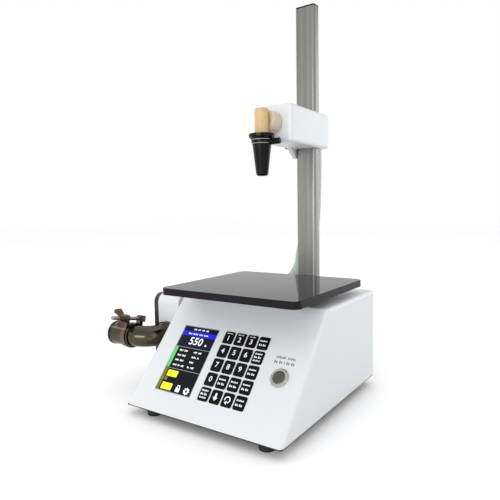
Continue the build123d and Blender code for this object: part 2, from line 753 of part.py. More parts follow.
def nozzle():
    flange_low = chamber_bottom - 3.2
    neck_low = chamber_bottom - 10.0
    profile = Polyline(
        (nozzle_bore, chamber_bottom), (nozzle_flange_radius, chamber_bottom), (nozzle_flange_radius, flange_low),
        (nozzle_neck_radius + 1.2, neck_low + 3.4), (nozzle_neck_radius + 0.9, neck_low),
        (nozzle_neck_radius, neck_low - 0.6), (nozzle_tip_radius + 0.6, nozzle_tip_height + 2.0),
        (nozzle_tip_radius - 1.0, nozzle_tip_height), (nozzle_bore - 1.5, nozzle_tip_height),
        (nozzle_bore, nozzle_tip_height + 20), close=True)
    body = revolve(Plane.XZ * make_face(profile), axis=Axis.Z)
    body = Pos(nozzle_x, nozzle_y, 0) * body
    stub_z = neck_low + 0.6
    stub_end = nozzle_x + stub_reach
    stub = rod((nozzle_x + nozzle_neck_radius - 2, nozzle_y, stub_z), (stub_end, nozzle_y, stub_z), stub_radius)
    stub = fillet(stub.edges().group_by(Axis.X)[-1], 1.2)
    return body + stub


def arm_hose_elbow():
    spigot = rod((arm_port_x, arm_back - 6, arm_port_z), (arm_port_x, arm_back, arm_port_z), 5.0 - fit_gap)
    head = block((arm_port_x - elbow_half, arm_back, arm_port_z - elbow_half),
                 (arm_port_x + elbow_half, elbow_back_y + elbow_half, arm_port_z + elbow_half))
    head = fillet(head.edges(), 2.0)
    barb = rod((arm_port_x, elbow_back_y, arm_port_z), (arm_port_x, elbow_back_y, barb_top - 22), hose_bore - fit_gap)
    collar = rod((arm_port_x, elbow_back_y, arm_port_z - 5), (arm_port_x, elbow_back_y, barb_top), elbow_half - 1)
    elbow = spigot + head + barb + collar
    elbow -= rod((arm_port_x, arm_back - 7, arm_port_z), (arm_port_x, elbow_back_y, arm_port_z), 3.6)
    return elbow - rod((arm_port_x, elbow_back_y, arm_port_z + 3), (arm_port_x, elbow_back_y, barb_top - 23), 6.5)


def arm_clamp_knob():
    face = arm_left - run_gap
    lobe_count = 6
    knob = rod((face, 0, 0), (face - 12, 0, 0), 10.5)
    for lobe in range(lobe_count):
        y, z = polar(12.4, (lobe + 0.5) * 360 / lobe_count)
        knob -= rod((face + 1, y, z), (face - 13, y, z), 3.4)
    knob = fillet(knob.edges().group_by(Axis.X)[0], 0.8)
    stud_end = column_centre_x - column_width / 2 - run_gap
    knob += rod((face - 1, 0, 0), (stud_end, 0, 0), stud_radius)
    return Pos(0, knob_y, knob_z) * knob


# ---------------------------------------------------------------- hose
hose_end_z = barb_top
hose_start_y = housing_back + fit_gap
hose_route = [
    (pump_port_x, hose_start_y, pipe_height),
    (pump_port_x, 263, pipe_height),
    (-106, 297, 83),
    (-66, 308, 106),
    (-31, 294, 136),
    (-15, 274, 172),
    (arm_port_x, elbow_back_y, 216),
    (arm_port_x, elbow_back_y, hose_end_z),
]


def corner_radii(points):
    """The largest tangent arc that each corner of a route has room for."""
    radii = []
    for before, here, after in zip(points, points[1:], points[2:]):
        first = Vector(*here) - Vector(*before)
        second = Vector(*after) - Vector(*here)
        half_turn = math.radians(first.get_angle(second)) / 2
        radii.append(0.45 * min(first.length, second.length) / math.tan(half_turn))
    return radii


def outlet_hose():
    radii = corner_radii(hose_route)
    path = FilletPolyline(*hose_route, radius=radii)
    section = Plane(origin=path @ 0, z_dir=path % 0)
    hose = sweep(section * Circle(hose_radius), path=path)
    expected = math.pi * hose_radius ** 2 * path.length
    print("hose radii", [round(r, 1) for r in radii], "length", round(path.length, 1),
          "volume over section times length", round(hose.volume / expected, 4))
    bore = sweep(section * Circle(hose_bore), path=path)
    return hose - bore


# ---------------------------------------------------------------- panel controls
def display_module():
    low = (display_left, display_bottom)
    high = (display_left + display_width, display_bottom + display_height)
    glass = block((low[0] + fit_gap, low[1] + fit_gap, -sheet - 0.5), (high[0] - fit_gap, high[1] - fit_gap, -display_recess))
    frame = block((low[0] - 3, low[1] - 4, board_front), (high[0] + 3, high[1] + 4, -sheet))
    return on_panel(glass + frame)


def control_board():
    board = block((*board_low, board_back), (*board_high, board_front))
    for row in range(key_rows):
        for column in range(key_columns):
            u, v = key_corner_at(row, column)
            middle_u = u + key_width / 2
            middle_v = v + key_height / 2
            board += block((middle_u - 3, middle_v - 3, board_front), (middle_u + 3, middle_v + 3, board_front + 1.4))
    return on_panel(board)


def key_cap(row, column):
    u, v = key_corner_at(row, column)
    cap = extrude(RectangleRounded(key_width, key_height, key_corner), amount=key_proud + sheet + 0.3)
    cap = chamfer(cap.edges().group_by(Axis.Z)[-1], 0.35)
    flange = extrude(RectangleRounded(key_width + 2 * key_flange, key_height + 2 * key_flange, key_corner), amount=-1.0)
    switch_top = board_front + 1.4
    stem_end = switch_top + key_travel + fit_gap
    stem_length = -(sheet + 0.3 + 1.0) - stem_end
    stem = Pos(0, 0, -1.0) * extrude(Circle(2.0), amount=-stem_length)
    solid = Pos(u + key_width / 2, v + key_height / 2, -sheet - 0.3) * (cap + flange + stem)
    return on_panel(solid)


def start_button_body():
    centre = (button_u, button_v)
    bezel = rod((*centre, 0), (*centre, 2.2), button_bezel_radius)
    bezel = chamfer(bezel.edges().group_by(Axis.Z)[-1], 0.9)
    barrel = rod((*centre, -24), (*centre, 0.5), button_barrel_radius)
    nut = extrude(RegularPolygon(10.5, 6), amount=-3)
    nut = Pos(*centre, -sheet) * nut
    well = rod((*centre, -6), (*centre, 4), button_cap_radius + run_gap)
    return on_panel(bezel + barrel + nut - well)


def start_button():
    centre = (button_u, button_v)
    cap = rod((*centre, -6 + button_travel + run_gap), (*centre, 2.6), button_cap_radius)
    cap = fillet(cap.edges().group_by(Axis.Z)[-1], 0.7)
    return on_panel(cap)


# ---------------------------------------------------------------- electrics
def power_supply():
    supply = block((-96, 187, casing_bottom), (-12, 217, casing_bottom + 62))
    for index in range(6):
        x = -88 + index * 13
        supply -= block((x, 186, casing_bottom + 20), (x + 4, 188.5, casing_bottom + 50))
    return supply


def mains_inlet():
    back = body_depth
    inlet = block((mains_x - mains_width / 2, back, mains_z - mains_height / 2),
                  (mains_x + mains_width / 2, back + mains_flange, mains_z + mains_height / 2))
    inlet = fillet(edges_along(inlet, Axis.Y), 2)
    inlet += block((mains_x - mains_width / 2 + 1, back - mains_depth, mains_z - mains_height / 2 + 1),
                   (mains_x + mains_width / 2 - 1, back + 0.5, mains_z + mains_height / 2 - 1))
    socket_x = mains_x + 9
    socket = block((socket_x - 12, back - 16, mains_z - 8), (socket_x + 12, back + 5, mains_z + 8))
    socket = chamfer([e for e in edges_along(socket, Axis.Y) if e.center().Z > mains_z], 5)
    inlet -= socket
    for x, z in ((socket_x - 7, mains_z - 2), (socket_x, mains_z + 3), (socket_x + 7, mains_z - 2)):
        inlet += block((x - 1, back - 16.5, z - 2), (x + 1, back - 3, z + 2))
    inlet -= block((rocker_x - rocker_width / 2 - run_gap, back - 12, mains_z - rocker_height / 2 - run_gap),
                   (rocker_x + rocker_width / 2 + run_gap, back + 5, mains_z + rocker_height / 2 + run_gap))
    for side in (-1, 1):
        pin_x = rocker_x + side * (rocker_width / 2 + run_gap)
        inlet += rod((pin_x + side, back - rocker_pivot_depth, mains_z),
                     (pin_x - side * 1.6, back - rocker_pivot_depth, mains_z), rocker_pin_radius)
    return inlet


def power_rocker():
    back = body_depth
    reach = rocker_height / 2 - 0.8
    profile = Polyline((-6, -reach + 2), (3.4, -reach), (1.4, 0), (3.4, reach), (-6, reach - 2), close=True)
    rocker = extrude(Plane.YZ * make_face(profile), amount=rocker_width)
    rocker = Pos(-rocker_width / 2, rocker_pivot_depth, 0) * rocker
    rocker -= rod((-rocker_width, 0, 0), (rocker_width, 0, 0), rocker_pin_radius + shaft_gap)
    return Pos(rocker_x, back - rocker_pivot_depth, mains_z) * Rot(rocker_swing_deg / 2, 0, 0) * rocker


def cap_screws():
    screws = []
    for y, z in pump_screw_places:
        screws.append(cap_screw((pump_left + cap_head_height + 0.4, y, z), (1, 0, 0), pump_block_thickness))
    for x, y in load_screw_places:
        screws.append(cap_screw((x, y, load_cell_high[2]), (0, 0, -1), 30))
    return screws


# ---------------------------------------------------------------- assembly
def build_nodes():
    nodes = {
        "base_pan": base_pan(), "rubber_feet": rubber_feet(), "casing_shell": casing_shell(),
        "rear_panel": rear_panel(), "case_screws": case_screws(), "cap_screws": cap_screws(),
        "column": column(), "column_cap": column_cap(), "column_socket": column_socket(),
        "pump_housing": pump_housing(), "pump_side_cover": pump_side_cover(), "pump_body": pump_body(),
        "pump_flange_plate": pump_flange_plate(), "drive_gear": drive_gear(), "driven_gear": driven_gear(),
        "gearmotor": gearmotor(), "inlet_collar": inlet_collar(), "inlet_elbow": inlet_elbow(),
        "inlet_cuff": inlet_cuff(), "clamp_band": clamp_band(), "clamp_bolt": clamp_bolt(),
        "wing_nut": wing_nut(), "outlet_hose": outlet_hose(), "display_module": display_module(),
        "control_board": control_board(), "start_button_body": start_button_body(),
        "start_button": start_button(), "power_supply": power_supply(), "mains_inlet": mains_inlet(),
        "power_rocker": power_rocker(), "load_cell": load_cell(), "load_cell_bracket": load_cell_bracket(),
        "tray_carrier": tray_carrier(), "tray_pads": tray_pads(), "weigh_tray": weigh_tray(),
        "arm_housing": arm_housing(), "sight_chamber": sight_chamber(), "nozzle": nozzle(),
        "arm_hose_elbow": arm_hose_elbow(), "arm_clamp_knob": arm_clamp_knob(),
    }
    for row in range(key_rows):
        for place in range(key_columns):
            nodes[key_names[row][place]] = key_cap(row, place)
    return nodes


def as_shape(piece):
    """One solid, or a compound of the separate solids of a group."""
    if isinstance(piece, list):
        return Compound(children=[s for p in piece for s in p.solids()])
    solids = piece.solids()
    return solids[0] if len(solids) == 1 else Compound(children=list(solids))


def main():
    nodes = {name: as_shape(piece) for name, piece in build_nodes().items()}
    boxes = [shape.bounding_box() for shape in nodes.values()]
    middle_x = (min(b.min.X for b in boxes) + max(b.max.X for b in boxes)) / 2
    middle_y = (min(b.min.Y for b in boxes) + max(b.max.Y for b in boxes)) / 2
    floor = min(b.min.Z for b in boxes)
    print("origin", round(middle_x, 4), round(middle_y, 4), round(floor, 4))
    os.makedirs("parts", exist_ok=True)
    for name, shape in nodes.items():
        export_step(Pos(-middle_x, -middle_y, -floor) * shape, f"parts/{name}.step")


if __name__ == "__main__":
    main()
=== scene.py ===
# %% [markdown]
# # A benchtop filler for honey
# This machine weighs thick liquid into a jar. The hard parts come ready made from the imported model, so
# this script only adds the looks: the printed marks, the honey in its sight chamber, the hose, the weld
# beads and every material. It starts by loading the frame and keeps every part exactly where it is.

# %% Load the frame
import math

import bmesh
import bpy
from mathutils import Matrix, Vector


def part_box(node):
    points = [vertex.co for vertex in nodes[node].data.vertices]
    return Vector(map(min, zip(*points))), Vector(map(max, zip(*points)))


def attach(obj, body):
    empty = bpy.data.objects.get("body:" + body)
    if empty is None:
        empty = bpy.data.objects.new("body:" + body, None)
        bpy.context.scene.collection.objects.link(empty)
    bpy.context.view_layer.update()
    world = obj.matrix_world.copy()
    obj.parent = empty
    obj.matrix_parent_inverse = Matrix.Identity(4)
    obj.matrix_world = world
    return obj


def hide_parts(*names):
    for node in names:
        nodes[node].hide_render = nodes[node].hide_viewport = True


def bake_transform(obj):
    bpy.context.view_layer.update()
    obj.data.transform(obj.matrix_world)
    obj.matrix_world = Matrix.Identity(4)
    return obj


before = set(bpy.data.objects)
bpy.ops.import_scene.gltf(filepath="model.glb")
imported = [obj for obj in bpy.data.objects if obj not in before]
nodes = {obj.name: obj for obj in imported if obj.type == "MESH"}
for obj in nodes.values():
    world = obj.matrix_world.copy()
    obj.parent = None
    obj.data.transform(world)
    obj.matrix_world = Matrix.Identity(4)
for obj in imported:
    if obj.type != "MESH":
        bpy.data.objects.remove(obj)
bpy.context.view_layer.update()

# %% [markdown]
# Sizes are given in millimetres, as on a drawing, and measured from the casing: X from its middle, Y from
# its front bottom edge and Z from the table. One function turns such a place into the frame's metres.

# %% Places and units
MM = 0.001
casing_low, casing_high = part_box("casing_shell")
casing_middle_x = (casing_low.x + casing_high.x) / 2
PANEL_RUN = 102.0
panel_rise = (casing_high.z - casing_low.z) / MM
panel_length = math.hypot(PANEL_RUN, panel_rise)
NOZZLE_X = 9.5
NOZZLE_Y = 120.0
CHAMBER_MIDDLE = 335.6


def place(x, y, z):
    return Vector((casing_middle_x + x * MM, casing_low.y + y * MM, z * MM))


def panel_matrix():
    """From the control panel's own frame, in metres: across, up the slope, and out of it."""
    across = Vector((1, 0, 0))
    up = Vector((0, PANEL_RUN, panel_rise)) / panel_length
    out = across.cross(up)
    matrix = Matrix((across, up, out)).transposed().to_4x4()
    matrix.translation = place(0, 0, casing_low.z / MM)
    return matrix


on_panel = panel_matrix()
print("panel length in mm", round(panel_length, 1))

# %% [markdown]
# ## Camera, floor and light
# A product like this is shown from the front right and a little above the tray. The lens is fairly
# wide for so small a thing, which is why the near corner looks large. Big soft lights and a pale
# floor give white paint its gentle shading, and narrow strip lights put bright lines on the metal.

# %% Camera
camera_data = bpy.data.cameras.new("camera")
camera_data.sensor_width = 36.0
camera_data.lens = 34.5024
camera_data.clip_start = 0.01
camera = bpy.data.objects.new("camera", camera_data)
bpy.context.scene.collection.objects.link(camera)
bpy.context.scene.camera = camera


def aim_camera(where, yaw_deg, pitch_deg, roll_deg):
    """Yaw turns the view from +Y towards -X, pitch lowers it, and roll turns the frame."""
    yaw = math.radians(yaw_deg)
    pitch = math.radians(pitch_deg)
    roll = math.radians(roll_deg)
    forward = Vector((-math.sin(yaw) * math.cos(pitch), math.cos(yaw) * math.cos(pitch),
                      -math.sin(pitch)))
    level_right = Vector((math.cos(yaw), math.sin(yaw), 0))
    level_up = level_right.cross(forward)
    right = level_right * math.cos(roll) + level_up * math.sin(roll)
    up = level_up * math.cos(roll) - level_right * math.sin(roll)
    turn = Matrix((right, up, -forward)).transposed().to_4x4()
    camera.matrix_world = Matrix.Translation(where) @ turn


aim_camera(place(316.5, -361.3, 231.9), yaw_deg=34.14, pitch_deg=4.84, roll_deg=-0.97)

# %% [markdown]
# Every colour below is written as people read it from a chart, in sRGB hex, so one function turns it into
# the linear values that the shaders work with. Another small function adds a node, its settings and links.

# %% Colour and node helpers


def colour(hex_code, alpha=1.0):
    channels = [int(hex_code[i:i + 2], 16) / 255 for i in (1, 3, 5)]
    linear = [c / 12.92 if c <= 0.04045 else ((c + 0.055) / 1.055) ** 2.4 for c in channels]
    return (*linear, alpha)


def add(tree, kind, inputs=None, **settings):
    """Adds a node. A value in inputs may be a number, a colour or another node's output."""
    node = tree.nodes.new(kind)
    for name, value in settings.items():
        setattr(node, name, value)
    for name, value in (inputs or {}).items():
        if isinstance(value, bpy.types.NodeSocket):
            tree.links.new(value, node.inputs[name])
        else:
            node.inputs[name].default_value = value
    return node


def material(name, base, metallic=0.0, roughness=0.5, **shader_inputs):
    """A material with one Principled shader. Returns the material, its node tree and the shader."""
    made = bpy.data.materials.new(name)
    made.use_nodes = True
    made.diffuse_color = colour(base)
    tree = made.node_tree
    shader = tree.nodes["Principled BSDF"]
    shader.inputs["Base Color"].default_value = colour(base)
    shader.inputs["Metallic"].default_value = metallic
    shader.inputs["Roughness"].default_value = roughness
    for socket, value in shader_inputs.items():
        shader.inputs[socket.replace("_", " ")].default_value = value
    return made, tree, shader


def per_metre(size_mm):
    """A texture's scale for a pattern whose features are that many millimetres apart."""
    return 1000.0 / size_mm


def object_place(tree):
    """Where a point is on its object, in metres."""
    return add(tree, "ShaderNodeTexCoord").outputs["Object"]


def noise(tree, where, size_mm, detail, **inputs):
    """The grey value of a noise with features of a size in millimetres."""
    return add(tree, "ShaderNodeTexNoise", {
        "Vector": where, "Scale": per_metre(size_mm), "Detail": detail, **inputs}).outputs["Fac"]


def blend_colours(tree, factor, first, second):
    return add(tree, "ShaderNodeMix", {"Factor": factor, "A": first, "B": second},
               data_type="RGBA").outputs["Result"]


def spread(tree, value, low, high, **inputs):
    """Carries a value to the range from low to high. It runs from 0 to 1 unless inputs say otherwise."""
    return add(tree, "ShaderNodeMapRange", {
        "Value": value, "To Min": low, "To Max": high, **inputs}).outputs["Result"]


def bumps(tree, height, strength, distance_mm):
    return add(tree, "ShaderNodeBump", {
        "Height": height, "Strength": strength, "Distance": distance_mm * MM}).outputs["Normal"]


def surface(tree, shader, base, roughness, normal):
    """Drives a shader's colour, roughness and normal."""
    tree.links.new(base, shader.inputs["Base Color"])
    tree.links.new(roughness, shader.inputs["Roughness"])
    tree.links.new(normal, shader.inputs["Normal"])


# %% Floor, world and lights
floor_material, floor_tree, floor_shader = material("studio floor", "#F4F4F5", roughness=0.75)
floor_noise = add(floor_tree, "ShaderNodeTexNoise", {
    "Vector": object_place(floor_tree), "Scale": 1.5, "Detail": 2.0}).outputs["Fac"]
floor_tone = blend_colours(floor_tree, floor_noise, colour("#FBFBFC"), colour("#FFFFFF"))
floor_tree.links.new(floor_tone, floor_shader.inputs["Base Color"])


def studio_floor(half_size=6.0):
    mesh = bpy.data.meshes.new("floor")
    corners = [(-half_size, -half_size, 0), (half_size, -half_size, 0),
               (half_size, half_size, 0), (-half_size, half_size, 0)]
    mesh.from_pydata(corners, [], [(0, 1, 2, 3)])
    mesh.materials.append(floor_material)
    floor = bpy.data.objects.new("floor", mesh)
    bpy.context.scene.collection.objects.link(floor)


def area_light(name, where, target, size, power):
    data = bpy.data.lights.new(name, "AREA")
    data.shape = "RECTANGLE"
    data.size, data.size_y = size
    data.energy = power
    light = bpy.data.objects.new(name, data)
    light.location = where
    light.rotation_euler = (target - where).to_track_quat("-Z", "Y").to_euler()
    bpy.context.scene.collection.objects.link(light)


studio_floor()
centre = place(0, 120, 220)
lights = [  # name, place in metres, width and height in metres, watts
    ("key", (0.15, -2.4, 0.5), (1.6, 0.7), 21),
    ("top", (0.1, 0.1, 2.1), (1.6, 1.6), 3),
    ("right strip", (1.5, -0.9, 0.6), (0.22, 1.6), 1.8),
    ("left strip", (-1.3, -0.5, 0.5), (0.16, 1.4), 2.5),
    ("back right", (0.95, 2.05, 0.45), (0.6, 1.5), 5.5),
]
for name, where, size, power in lights:
    area_light(name, Vector(where), centre, size, power)

world = bpy.data.worlds.new("studio")
world.use_nodes = True
sky = world.node_tree.nodes["Background"]
sky.inputs["Color"].default_value = colour("#FFFFFF")
sky.inputs["Strength"].default_value = 1.0
bpy.context.scene.world = world
bpy.context.scene.view_settings.view_transform = "Standard"
print("lights", [light.name for light in bpy.data.lights])

# %% [markdown]
# ## Materials
# Each one starts from what the real thing is. Powder coat is sprayed as dry powder and melted, so under
# gloss it keeps a faint orange peel of bumps about a millimetre across. It is white with a hint of blue.

# %% Powder-coated steel


def powder_coat(name, base, shade, roughness):
    made, tree, shader = material(name, base, roughness=roughness, IOR=1.45)
    where = object_place(tree)
    peel = noise(tree, where, 1.1, 2.0)
    cloud = noise(tree, where, 90, 3.0)
    surface(tree, shader,
            blend_colours(tree, cloud, colour(base), colour(shade)),
            spread(tree, peel, roughness - 0.05, roughness + 0.07),
            bumps(tree, peel, 0.10, 0.2))
    return made


white_paint = powder_coat("white powder coat", "#CED1D3", "#C8CCCF", 0.30)
black_paint = powder_coat("black powder coat", "#131315", "#1B1B1D", 0.45)
motor_paint = powder_coat("grey motor enamel", "#3A3D40", "#44484B", 0.38)

# %% [markdown]
# The column is an aluminium extrusion that has been satin anodised. The die leaves very fine lines along
# its length, so a noise that is stretched along Z shows in both its roughness and its colour.

# %% Metals


def drawn_metal(name, base, shade, roughness, line_mm, stretch):
    """Metal with fine lines along one axis. stretch is how much each axis of the pattern is shrunk."""
    made, tree, shader = material(name, base, metallic=1.0, roughness=roughness)
    along = add(tree, "ShaderNodeMapping", {
        "Vector": object_place(tree), "Scale": stretch}).outputs["Vector"]
    lines = noise(tree, along, line_mm, 4.0, Roughness=0.7)
    bands = noise(tree, along, line_mm * 12, 1.0)
    mixed = add(tree, "ShaderNodeMath", {0: lines, 1: bands}, operation="MULTIPLY").outputs["Value"]
    tone = spread(tree, mixed, 0.0, 1.0, **{"From Min": 0.12, "From Max": 0.42})
    surface(tree, shader,
            blend_colours(tree, tone, colour(shade), colour(base)),
            spread(tree, lines, roughness - 0.10, roughness + 0.10),
            bumps(tree, lines, 0.12, 0.1))
    return made


anodised_column = drawn_metal("satin anodised aluminium", "#8C8C89", "#757572", 0.34, 0.5, (1, 1, 0.01))
milled_aluminium = drawn_metal("milled aluminium", "#B4B5B7", "#A2A3A6", 0.38, 0.6, (0.02, 1, 1))
zinc_plate = drawn_metal("zinc-plated steel", "#B9BCC0", "#A5A9AE", 0.28, 0.8, (1, 1, 1))
galvanised = drawn_metal("galvanised sheet", "#A9ADB0", "#93989C", 0.42, 6.0, (1, 1, 1))

# %% [markdown]
# The inlet is polished stainless tube. It shows mostly what stands around it, broken by a haze of
# polishing marks. Its dark brown colour is a painted reflection of the dark brown surroundings.

# %% Polished stainless


def polished_stainless(name, base, shade, roughness):
    made, tree, shader = material(name, base, metallic=1.0, roughness=roughness)
    where = object_place(tree)
    haze = noise(tree, where, 14, 3.0)
    marks = noise(tree, where, 0.5, 3.0)
    surface(tree, shader,
            blend_colours(tree, haze, colour(base), colour(shade)),
            spread(tree, marks, roughness - 0.06, roughness + 0.10),
            bumps(tree, marks, 0.06, 0.1))
    return made


# The inlet tube's dark brown base and shade colours are a painted reflection.
stainless_tube = polished_stainless("stainless tube with painted brown reflection", "#5A5447", "#443F35", 0.17)
stainless_bright = polished_stainless("bright stainless", "#B9B7B2", "#A4A19A", 0.18)
button_metal = polished_stainless("brushed button metal", "#65645B", "#55544D", 0.24)
# The clamp's brownish colour is a painted reflection of the brown surroundings.
clamp_steel = polished_stainless("clamp steel with painted brown reflection", "#7C695A", "#665548", 0.22)
stainless_pump = polished_stainless("machined stainless", "#AFAFAD", "#9B9B9A", 0.30)

# %% [markdown]
# Plastics and rubber. The nozzle is gloss acetal, the keys are silicone rubber with a satin lacquer, and
# the feet are plain rubber. Each has its own grain, and none is perfectly black.

# %% Plastics and rubber


def moulded(name, base, shade, roughness, grain_mm, bump_strength=0.15, **shader_inputs):
    made, tree, shader = material(name, base, roughness=roughness, **shader_inputs)
    where = object_place(tree)
    grain = noise(tree, where, grain_mm, 3.0)
    patch = noise(tree, where, grain_mm * 25, 2.0)
    surface(tree, shader,
            blend_colours(tree, patch, colour(base), colour(shade)),
            spread(tree, patch, max(roughness - 0.05, 0.02), roughness + 0.06),
            bumps(tree, grain, bump_strength, 0.1))
    return made


black_acetal = moulded("gloss black acetal", "#040405", "#060607", 0.15, 0.9, 0.05, IOR=1.25)
black_abs = moulded("black ABS", "#121214", "#1A1A1C", 0.38, 0.5, 0.25)
smoked_acrylic = moulded("smoked acrylic sheet", "#2A2A2D", "#323236", 0.14, 2.5, 0.03, IOR=1.35)
key_lacquer = moulded("lacquered silicone key", "#040406", "#07070A", 0.36, 0.4, 0.18, IOR=1.2)
foot_rubber = moulded("black rubber", "#0D0D0E", "#151516", 0.72, 0.35, 0.5)
board_mask = moulded("green solder mask", "#0C4A26", "#0A3D20", 0.33, 1.2, 0.2)
# Pale colour for the rings that paint highlights on the edges of the nozzle's collar.
edge_highlight_paint = moulded("pale edge highlight rings", "#A9A9A6", "#9B9B98", 0.45, 0.4, 0.2)
silver_bezel = moulded("silver film", "#9FA3A8", "#8C9096", 0.28, 0.8, 0.05, Metallic=0.8)

# %% [markdown]
# The tray is smoked tempered glass, so dark that it is drawn as a deep gloss body. The hose is translucent
# silicone, and honey is a gloss body too.

# %% Glass, silicone and honey
tray_glass = moulded("smoked tempered glass", "#19151B", "#1F1A20", 0.07, 30.0, 0.02, IOR=1.18)
screen_glass = moulded("screen glass", "#05070B", "#080A10", 0.12, 8.0, 0.02, IOR=1.2)
silicone = moulded("translucent silicone hose", "#CDD8D0", "#C2CFC6", 0.34, 3.0, 0.10,
                   IOR=1.43, Transmission_Weight=0.45)
honey = moulded("honey", "#D6A159", "#C78E42", 0.12, 6.0, 0.02, IOR=1.4)

# %% [markdown]
# The sight chamber is clear acrylic over honey. Seen through its thick wall the honey looks larger and its
# edge soft, so the wall's colour runs from pale at the rim of the boss to amber over the passage behind it.

# %% Sight chamber acrylic
CHAMBER_AXIS = place(NOZZLE_X, NOZZLE_Y, CHAMBER_MIDDLE)
RIM_INNER = 6.8
RIM_OUTER = 9.8
BOSS_START = 5.0
BOSS_END = 7.0


def chamber_acrylic():
    made, tree, shader = material("acrylic over honey", "#E8CFA6", roughness=0.08, IOR=1.25,
                                  Transmission_Weight=0.35)
    where = object_place(tree)
    moved = add(tree, "ShaderNodeVectorMath", {0: where, 1: CHAMBER_AXIS},
                operation="SUBTRACT").outputs["Vector"]
    across = add(tree, "ShaderNodeVectorMath", {0: moved, 1: (1, 0, 1)},
                 operation="MULTIPLY").outputs["Vector"]
    radius = add(tree, "ShaderNodeVectorMath", {0: across}, operation="LENGTH").outputs["Value"]
    depth = add(tree, "ShaderNodeSeparateXYZ", {"Vector": moved}).outputs["Y"]
    rim = spread(tree, radius, 0.0, 1.0, **{"From Min": RIM_INNER * MM, "From Max": RIM_OUTER * MM})
    behind = spread(tree, depth, 0.0, 1.0, **{"From Min": BOSS_START * MM, "From Max": BOSS_END * MM})
    streak = noise(tree, where, 9, 2.0)
    boss = blend_colours(tree, rim, colour("#B98A45"), colour("#E6D6C0"))
    upright = blend_colours(tree, streak, colour("#D9B684"), colour("#E6CBA2"))
    whole = blend_colours(tree, behind, upright, boss)
    tree.links.new(whole, shader.inputs["Base Color"])
    tree.links.new(spread(tree, streak, 0.06, 0.14), shader.inputs["Roughness"])
    return made


clear_acrylic = chamber_acrylic()

# %% [markdown]
# The marks on the screen and keys are print and lit dots: flat colours by nature, so each gets only a
# trace of variation. The lit ones give off a little light of their own.

# %% Print and lit marks


def ink(name, base, glow=0.0):
    made, tree, shader = material(name, base, roughness=0.4, Specular_IOR_Level=0.1)
    dots = noise(tree, object_place(tree), 0.3, 1.0)
    tone = add(tree, "ShaderNodeHueSaturation", {
        "Color": colour(base), "Value": spread(tree, dots, 0.93, 1.07)})
    tree.links.new(tone.outputs["Color"], shader.inputs["Base Color"])
    if glow:
        shader.inputs["Emission Color"].default_value = colour(base)
        shader.inputs["Emission Strength"].default_value = glow
    return made


key_print = ink("white key print", "#E8EAEC")
panel_print = ink("grey panel print", "#6F7478")
lit_white = ink("lit white", "#E6EAF0", 0.25)
lit_navy = ink("lit navy", "#0A0E28", 0.1)
lit_blue = ink("lit blue", "#1B25C4", 0.25)
lit_black = ink("lit black", "#0A0D12", 0.05)
lit_green = ink("lit green", "#4FC257", 0.2)
lit_yellow = ink("lit yellow", "#E4DF3A", 0.2)
lit_olive = ink("lit olive", "#6E6A22", 0.1)
lit_grey = ink("lit grey", "#8D9499", 0.3)

# %% [markdown]
# ## Finishes on the ready-made parts
# Each node of the model takes the material of the real piece. A list of finishes, each with its nodes,
# is easier to check against the machine than a long run of assignments.

# %% Give every node its finish
key_rows = [
    ["key_1", "key_2", "key_3", "key_type"],
    ["key_4", "key_5", "key_6", "key_start"],
    ["key_7", "key_8", "key_9", "key_trigger"],
    ["key_0", "key_auto", "key_weight", "key_feed"],
    ["key_clear", "key_down", "key_back", "key_wash"],
]
finishes = [
    (white_paint, ["casing_shell", "rear_panel", "pump_housing", "arm_housing"]),
    (black_paint, ["base_pan"]),
    (motor_paint, ["gearmotor"]),
    (anodised_column, ["column"]),
    (milled_aluminium, ["column_socket", "load_cell", "load_cell_bracket", "tray_carrier"]),
    (zinc_plate, ["case_screws", "cap_screws"]),
    (galvanised, ["power_supply"]),
    (stainless_tube, ["inlet_collar", "inlet_elbow", "inlet_cuff"]),
    (stainless_bright, ["start_button_body", "arm_hose_elbow"]),
    (clamp_steel, ["clamp_band", "wing_nut"]),
    (button_metal, ["start_button"]),
    (stainless_pump, ["clamp_bolt", "pump_body", "pump_flange_plate", "drive_gear", "driven_gear"]),
    (black_acetal, ["nozzle", "column_cap"]),
    (black_abs, ["mains_inlet", "power_rocker", "arm_clamp_knob"]),
    (smoked_acrylic, ["pump_side_cover"]),
    (foot_rubber, ["rubber_feet", "tray_pads"]),
    (board_mask, ["control_board"]),
    (tray_glass, ["weigh_tray"]),
    (screen_glass, ["display_module"]),
    (clear_acrylic, ["sight_chamber"]),
    (key_lacquer, [name for row in key_rows for name in row]),
]
for finish, names in finishes:
    for name in names:
        nodes[name].data.materials.clear()
        nodes[name].data.materials.append(finish)
bare = sorted(set(nodes) - {name for _, names in finishes for name in names})
print("nodes without a finish here", bare)

# %% [markdown]
# ## Flat marks
# The screen and keys carry thin raised marks. Each mark is an outline that is extruded a few hundredths
# of a millimetre, as a screen print would be, and all marks of one colour on one piece share a mesh.

# %% Helpers for flat marks
PRINT_THICKNESS = 0.05
BOLD_SHARE = 0.012


def rectangle(left, bottom, right, top, radius=0.0, steps=3):
    """An outline, in millimetres. Its corners are round if radius is given."""
    if radius <= 0:
        return [(left, bottom), (right, bottom), (right, top), (left, top)]
    centres = [(right - radius, bottom + radius, -90), (right - radius, top - radius, 0),
               (left + radius, top - radius, 90), (left + radius, bottom + radius, 180)]
    points = []
    for x, y, start in centres:
        for step in range(steps + 1):
            angle = math.radians(start + 90 * step / steps)
            points.append((x + radius * math.cos(angle), y + radius * math.sin(angle)))
    return points


def circle(x, y, radius, steps=20):
    return [(x + radius * math.cos(math.tau * i / steps), y + radius * math.sin(math.tau * i / steps))
            for i in range(steps)]


